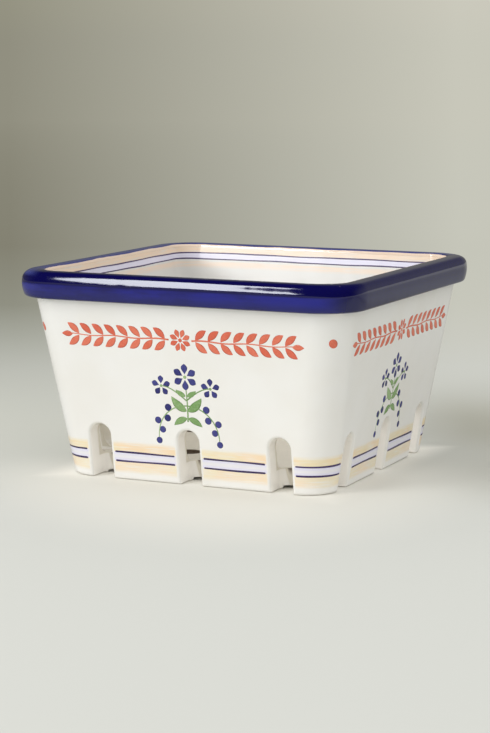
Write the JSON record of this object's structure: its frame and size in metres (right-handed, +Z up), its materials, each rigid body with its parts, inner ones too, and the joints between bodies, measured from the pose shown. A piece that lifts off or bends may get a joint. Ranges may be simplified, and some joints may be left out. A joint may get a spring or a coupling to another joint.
{
  "type": "berry basket colander",
  "caption": "Square tapered berry basket in glazed ceramic, with a rolled rim, a floor with drain holes and arched drain notches between its feet.",
  "frame": {"origin": "middle of the base, on the surface that the basket stands on", "axes": "+Z up through the mouth; +X to the right and -Y towards the viewer of the front wall; the four walls face -Y, +X, +Y and -X"},
  "size_m": [0.14, 0.14, 0.0799],
  "materials": {
    "white_glaze": "glossy warm white glaze, painted",
    "cobalt_glaze": "glossy cobalt blue glaze"
  },
  "bodies": {
    "root": {"rim_roll": "cobalt_glaze", "basket_wall": "white_glaze", "corner_feet": "white_glaze", "side_feet": "white_glaze", "drain_floor": "white_glaze"}
  },
  "joints": []
}
